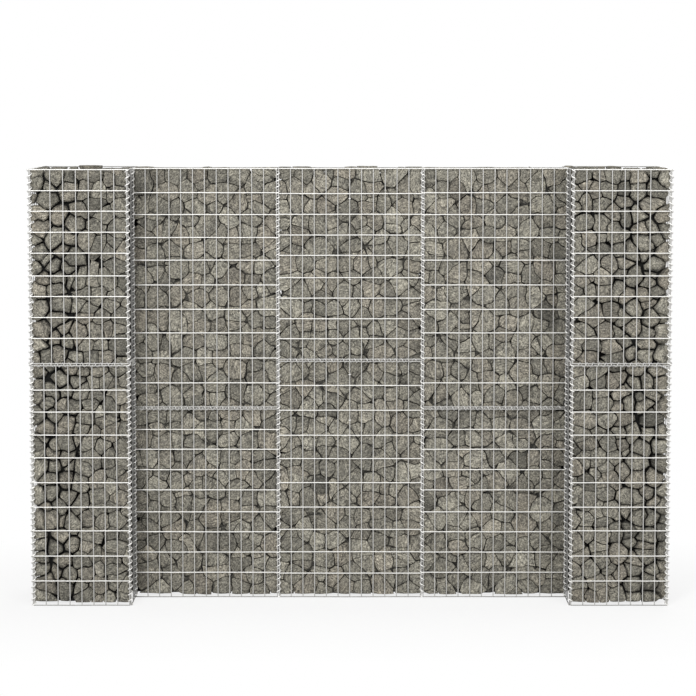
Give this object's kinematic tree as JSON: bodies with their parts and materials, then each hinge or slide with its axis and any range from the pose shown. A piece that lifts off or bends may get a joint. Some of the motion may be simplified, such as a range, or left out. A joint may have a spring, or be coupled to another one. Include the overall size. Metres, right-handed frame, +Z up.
{
  "type": "gabion wall",
  "caption": "Straight gabion wall of stacked welded mesh baskets filled with broken stone, thin between two square end pillars, laced with wire spirals.",
  "frame": {"origin": "on the ground, in the middle of the wall's length and depth", "axes": "+X along the wall to the right as seen from the front, front side faces -Y, +Z up"},
  "size_m": [2.6276, 0.4542, 1.79],
  "materials": {
    "mesh_wire": "satin",
    "spiral_wire": "satin",
    "stones": "matte"
  },
  "bodies": {
    "root": {"left_pillar_front_upper_mesh": "mesh_wire", "left_pillar_front_lower_mesh": "mesh_wire", "left_pillar_back_upper_mesh": "mesh_wire", "left_pillar_back_lower_mesh": "mesh_wire", "left_pillar_outer_upper_mesh": "mesh_wire", "left_pillar_outer_lower_mesh": "mesh_wire", "left_pillar_inner_upper_mesh": "mesh_wire", "left_pillar_inner_lower_mesh": "mesh_wire", "right_pillar_front_upper_mesh": "mesh_wire", "right_pillar_front_lower_mesh": "mesh_wire", "right_pillar_back_upper_mesh": "mesh_wire", "right_pillar_back_lower_mesh": "mesh_wire", "right_pillar_outer_upper_mesh": "mesh_wire", "right_pillar_outer_lower_mesh": "mesh_wire", "right_pillar_inner_upper_mesh": "mesh_wire", "right_pillar_inner_lower_mesh": "mesh_wire", "left_bay_front_upper_mesh": "mesh_wire", "left_bay_front_lower_mesh": "mesh_wire", "left_bay_back_upper_mesh": "mesh_wire", "left_bay_back_lower_mesh": "mesh_wire", "centre_bay_front_upper_mesh": "mesh_wire", "centre_bay_front_lower_mesh": "mesh_wire", "centre_bay_back_upper_mesh": "mesh_wire", "centre_bay_back_lower_mesh": "mesh_wire", "right_bay_front_upper_mesh": "mesh_wire", "right_bay_front_lower_mesh": "mesh_wire", "right_bay_back_upper_mesh": "mesh_wire", "right_bay_back_lower_mesh": "mesh_wire", "left_pillar_front_spirals": "spiral_wire", "left_pillar_back_spirals": "spiral_wire", "right_pillar_front_spirals": "spiral_wire", "right_pillar_back_spirals": "spiral_wire", "left_wall_end_spirals": "spiral_wire", "right_wall_end_spirals": "spiral_wire", "left_bay_joint_spirals": "spiral_wire", "right_bay_joint_spirals": "spiral_wire", "left_pillar_joint_spirals": "spiral_wire", "right_pillar_joint_spirals": "spiral_wire", "wall_front_joint_spirals": "spiral_wire", "wall_back_joint_spirals": "spiral_wire", "left_pillar_stones": "stones", "right_pillar_stones": "stones", "left_bay_stones": "stones", "centre_bay_stones": "stones", "right_bay_stones": "stones"}
  },
  "joints": []
}
